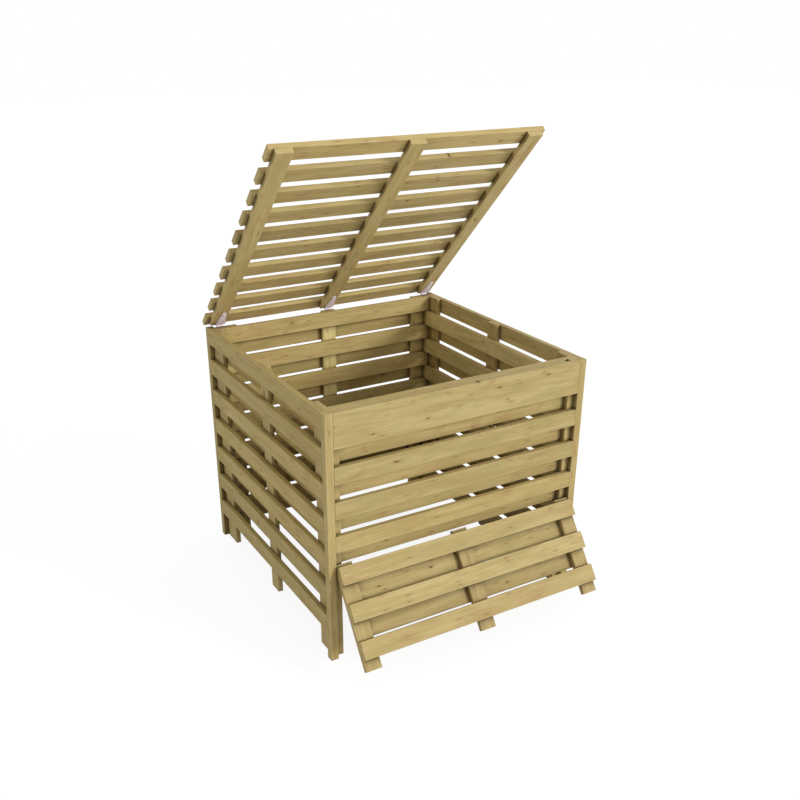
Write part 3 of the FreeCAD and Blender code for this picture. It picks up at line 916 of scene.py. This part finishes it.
hatchLook = {
    "lightness": {
        "hatch_slat_bottom": 1.0,
        "hatch_slat_middle": 1.06,
        "hatch_slat_top": 1.07,
        "hatch_inner_slat_lower": 1.05,
        "hatch_inner_slat_upper": 1.06,
    },
    "battenLightness": 0.95,
    "growth": {"hatch_inner_slat_upper": 0.0009},  # closes the slits above and below it
    "knots": {
        "hatch_inner_slat_upper": [
            ((-0.1362, -0.4805, 0.2604), 0.008, 0.003),
            ((-0.3393, -0.4805, 0.2522), 0.007, 0.0025),
        ],
        "hatch_inner_slat_lower": [((0.1346, -0.4805, 0.1332), 0.007, 0.0028)],
    },
}
for node, lightness in hatchLook["lightness"].items():
    low, high = shutBox(node, "hatch")
    growth = np.array((0, 0, hatchLook["growth"].get(node, 0)))
    board = plainBoard(low - growth, high + growth, hatchLook["knots"].get(node, ()), some=False)
    buildPiece(node, [board], "hatch", lightness)


def hatchBatten(low, high):
    # upright of the hatch: its side outline, with a quarter round at the top behind, carried across
    size = high - low
    deep, tall = size[1] / 2, size[2] / 2
    outline = roundedOutline(
        [(-deep, -tall), (deep, -tall), (deep, tall), (-deep, tall)], [eased, eased, deep, eased]
    )
    return boardFrom(outline, size, np.eye(3), (low + high) / 2, order=(2, 0, 1), endsCut=0.0)


for place in ("left", "middle", "right"):
    node = f"hatch_batten_{place}"
    buildPiece(node, [hatchBatten(*shutBox(node, "hatch"))], "hatch", hatchLook["battenLightness"])
print("hatch ready")

hingeLook = {
    "metalThick": 0.002,
    "bevel": 0.0005,
    "leafHalf": 0.019,
    "leafShoulder": 0.008,
    "leafStart": 0.0063,  # in front of the axis
    "leafLength": 0.0925,
    "leafTip": 0.008,
    "leafDrop": 0.0005,  # from the axis down to the leaf's face
    "shoulderEase": (0.001, 0.0002),  # along and across, where the taper begins
    "tipArc": (0.15, 0.04),  # radians left off at the tip's shoulder and at its point
    "neckStart": 0.0036,
    "neckOverlap": 0.002,
    "knuckleHalf": 0.0052,
    "knuckleGap": 0.0003,
    "barrelRadius": 0.0055,
    "boreRadius": 0.0026,
    "pinRadius": 0.00245,
    "pinDome": 0.45,  # in radii
    "pinTip": 0.08,
    "plateCorner": 0.004,
    "plateArc": 0.15,  # radians left off at the plate's foot
    "plateDrop": 0.0005,  # from the barrel down to the plate
    "screwAcross": 0.008,
    "plateScrewDrops": (0.018, 0.043),  # below the axis
    "leafScrewReaches": (0.052, 0.076),  # in front of the axis
    "pivotRadius": 0.003,
    "pivotLength": 0.052,
    "turnSteps": 36,
    "sharpAngle": 38,  # degrees between two faces from which their edge stays sharp
}
screwLook = {
    "headRadius": 0.0036,
    "headHeight": 0.002,
    "headRim": 0.0007,
    "domeEnd": 1.15,  # radians round the dome, where the recess begins
    "shankRadius": 0.00195,
    "shankLength": 0.0165,
    "shankStraight": 0.013,
    "pointRadius": 0.0002,
    "recess": [(0, 0.0012), (0.0009, 0.0007), (0.0012, 0.0001)],  # depth and radius, going in
}


def gridSurface(points, edge, closed=False):
    faces = gridFaces(*points.shape[:2], closed)
    return {"points": points.reshape(-1, 3), "faces": faces, "marks": {"edge": edge.ravel()}}


def strap(along, half, inset):
    # flat strip of varying half width: at each station u the bevelled section
    # (a, t) is drawn in by inset(u), and the stations follow one another along u
    thick, bevel = hingeLook["metalThick"], hingeLook["bevel"]
    sections = []
    for wide, drawnIn in zip(half, inset):
        radius = min(bevel, 0.4 * (wide - drawnIn))
        outline = rectangle(2 * (wide - drawnIn), thick - 2 * drawnIn, [radius] * 4)
        sections.append(outline["points"])
    edge = np.tile(outline["edge"], (len(along), 1))
    edge[[0, -1]] = 1
    stations = np.repeat(np.array(along)[:, None, None], len(sections[0]), axis=1)
    return gridSurface(np.concatenate([stations, np.array(sections)], axis=2), edge)


def lathed(profile, edge=None):
    # solid of revolution about the u axis: point = (u, r cos t, r sin t); a profile that ends where
    # it starts makes a tube, and any other is capped at its two ends
    profile = np.array(profile, float)
    closed = np.allclose(profile[0], profile[-1])
    turn = np.linspace(0, 2 * math.pi, hingeLook["turnSteps"], endpoint=False)
    u, radius = profile[:-1].T if closed else profile.T
    points = np.stack([
        np.repeat(u[:, None], len(turn), axis=1),
        radius[:, None] * np.cos(turn),
        radius[:, None] * np.sin(turn),
    ], axis=2)
    marks = np.zeros(len(u)) if edge is None else np.array(edge, float)
    return gridSurface(points, np.repeat(marks[:, None], len(turn), axis=1), closed)


def placed(surface, origin, axes):
    # the surface's own directions u, v and w laid along three directions of the frame. The sum of
    # (a - m) . ((b - a) x (c - a)) over the faces a, b, c tells whether they look outwards from the
    # middle m, and three left-handed directions turn them round once more.
    axes, points, faces = np.array(axes, float), surface["points"], surface["faces"]
    first, second, third = (points[[face[step] for face in faces]] for step in (0, 1, 2))
    across = np.cross(second - first, third - first)
    inwards = np.einsum("ij,ij->i", first - points.mean(axis=0), across).sum() < 0
    if inwards != (np.linalg.det(axes) < 0):
        faces = [face[::-1] for face in faces]
    return {**surface, "points": points @ axes + np.array(origin), "faces": faces}


def buildMetal(node, surfaces, body, material):
    # joins the surfaces of a hinge's part, or of a set of screws or pins
    mesh = newMesh(node, *joined(surfaces, body), material)
    mesh.set_sharp_from_angle(angle=math.radians(hingeLook["sharpAngle"]))
    addPiece(node + "Metal", mesh, node, body)


def knuckle(left, right):
    # rolled tube about the hinge pin, its rims eased
    outer, inner, bevel = hingeLook["barrelRadius"], hingeLook["boreRadius"], hingeLook["bevel"]
    profile = [
        (left, inner), (left, outer - bevel), (left + 0.3 * bevel, outer - 0.3 * bevel),
        (left + bevel, outer), (right - bevel, outer), (right - 0.3 * bevel, outer - 0.3 * bevel),
        (right, outer - bevel), (right, inner), (left, inner),
    ]
    return lathed(profile, [0, 1, 1, 0, 0, 1, 1, 0])


def pin(length, radius):
    # rod with domed ends, its middle at u = 0: the dome is a flat quarter ellipse
    dome = np.linspace(0, math.pi / 2, 6)[:-1][::-1]
    domeU = length / 2 - radius * hingeLook["pinDome"] * (1 - np.cos(dome))
    rim = np.stack([domeU, radius * np.cos(dome)], axis=1)
    half = np.array([(length / 2, hingeLook["pinTip"] * radius), *rim])
    return lathed(np.concatenate([half * (-1, 1), half[::-1]]))


def panScrew():
    # pointed shank, then a domed head with a round recess; u = 0 is the face that it holds down
    head, tall, rim = screwLook["headRadius"], screwLook["headHeight"], screwLook["headRim"]
    shank, straight = screwLook["shankRadius"], screwLook["shankStraight"]
    dome = np.linspace(0, screwLook["domeEnd"], 6)
    rise = rim + (tall - rim) * np.sin(dome) / math.sin(screwLook["domeEnd"])
    crown = np.stack([rise, head * np.cos(dome)], axis=1)
    return lathed([
        (-screwLook["shankLength"], screwLook["pointRadius"]), (-straight, shank), (0, shank), (0, head),
        *crown, *[(tall - depth, radius) for depth, radius in screwLook["recess"]],
    ])


# outline of a leaf: full width at the shoulder, then a straight taper to a round tip
bevel, leafHalf, leafTip = (hingeLook[label] for label in ("bevel", "leafHalf", "leafTip"))
leafStart = hingeLook["leafStart"]
easeAlong, easeAcross = hingeLook["shoulderEase"]
taperFrom = leafStart + hingeLook["leafShoulder"]
tipFrom = hingeLook["leafLength"] - leafTip
tipTurn = np.linspace(hingeLook["tipArc"][0], math.pi / 2 - hingeLook["tipArc"][1], 9)
leafAlong = [
    leafStart, leafStart + bevel, taperFrom, taperFrom + easeAlong, tipFrom,
    *(tipFrom + leafTip * np.sin(tipTurn)),
]
leafHalves = [leafHalf] * 3 + [leafHalf - easeAcross, leafTip, *(leafTip * np.cos(tipTurn))]
leafInsets = [bevel] + [0] * (len(leafAlong) - 1)

directions = xAxis, yAxis, zAxis = np.eye(3)
hingeAxis = np.array(joints["lid_hinge"]["pos_m"], float)
neckHalf = hingeLook["knuckleHalf"]
plateScrewSet, leafScrewSet, pinSet = [], [], []
for place in ("left", "middle", "right"):
    low, high = (np.array(corner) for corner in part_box(f"lid_hinge_plate_{place}"))
    middle = (low[0] + high[0]) / 2
    axis = np.array([middle, hingeAxis[1], hingeAxis[2]])
    # moving half: leaf, neck and middle knuckle
    faceDown = axis + (0, 0, -hingeLook["leafDrop"] + hingeLook["metalThick"] / 2)
    forward = (-yAxis, xAxis, zAxis)
    neckAlong = [hingeLook["neckStart"], leafStart + hingeLook["neckOverlap"]]
    leafParts = [
        placed(strap(leafAlong, leafHalves, leafInsets), faceDown, forward),
        placed(strap(neckAlong, [neckHalf] * 2, [0, 0]), faceDown, forward),
        placed(knuckle(-neckHalf, neckHalf), axis, directions),
    ]
    buildMetal(f"lid_hinge_leaf_{place}", leafParts, "lid", hingeZinc)
    # fixed half: plate with rounded lower corners, two necks and two end knuckles
    plateHalf, corner = (high[0] - low[0]) / 2, hingeLook["plateCorner"]
    plateTop = axis[2] - hingeLook["barrelRadius"] - hingeLook["plateDrop"]
    climb = corner * (1 - np.cos(np.linspace(hingeLook["plateArc"], math.pi / 2, 7)))
    plateAlong = [*(low[2] + climb - climb[0]), plateTop - bevel, plateTop]
    cornerHalves = plateHalf - corner + np.sqrt(corner**2 - (corner - climb) ** 2)
    plateHalves = [*cornerHalves, plateHalf, plateHalf]
    plateInsets = [0] * (len(plateAlong) - 1) + [bevel]
    plateFace = np.array([middle, low[1] + hingeLook["metalThick"] / 2, 0])
    upward = (zAxis, xAxis, yAxis)
    fixedParts = [placed(strap(plateAlong, plateHalves, plateInsets), plateFace, upward)]
    endFrom = neckHalf + hingeLook["knuckleGap"]
    for side in (-1, 1):
        neckMiddle = side * (endFrom + plateHalf) / 2
        neckAlong = [plateTop - hingeLook["neckOverlap"], axis[2]]
        neck = strap(neckAlong, [(plateHalf - endFrom) / 2] * 2, [0, 0])
        fixedParts.append(placed(neck, plateFace + (neckMiddle, 0, 0), upward))
        left, right = sorted((side * endFrom, side * plateHalf))
        fixedParts.append(placed(knuckle(left, right), axis, directions))
    buildMetal(f"lid_hinge_plate_{place}", fixedParts, "bin", hingeZinc)
    pinSet.append(placed(pin(2 * plateHalf, hingeLook["pinRadius"]), axis, directions))
    outerFace = low[1] + hingeLook["metalThick"]
    for side, drop in zip((-1, 1), hingeLook["plateScrewDrops"]):
        spot = (middle + side * hingeLook["screwAcross"], outerFace, axis[2] - drop)
        plateScrewSet.append(placed(panScrew(), spot, (yAxis, xAxis, zAxis)))
    for reach in hingeLook["leafScrewReaches"]:
        spot = axis - (0, reach, hingeLook["leafDrop"])
        leafScrewSet.append(placed(panScrew(), spot, (-zAxis, xAxis, yAxis)))
buildMetal("hinge_plate_screws", plateScrewSet, "bin", screwZinc)
buildMetal("hinge_leaf_screws", leafScrewSet, "lid", screwZinc)
buildMetal("lid_hinge_pins", pinSet, "bin", screwZinc)

# the hatch's two pivot pins, one at each end of their CAD part
low, high = (np.array(corner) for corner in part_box("hatch_pivot_pins"))
pivotReach = (high[0] - low[0] - hingeLook["pivotLength"]) / 2
pivotPins = []
for side in (-1, 1):
    pivot = pin(hingeLook["pivotLength"], hingeLook["pivotRadius"])
    pivotPins.append(placed(pivot, (low + high) / 2 + (side * pivotReach, 0, 0), directions))
buildMetal("hatch_pivot_pins", pivotPins, "bin", screwZinc)
print("hinges ready")

scene.view_settings.view_transform = "Standard"
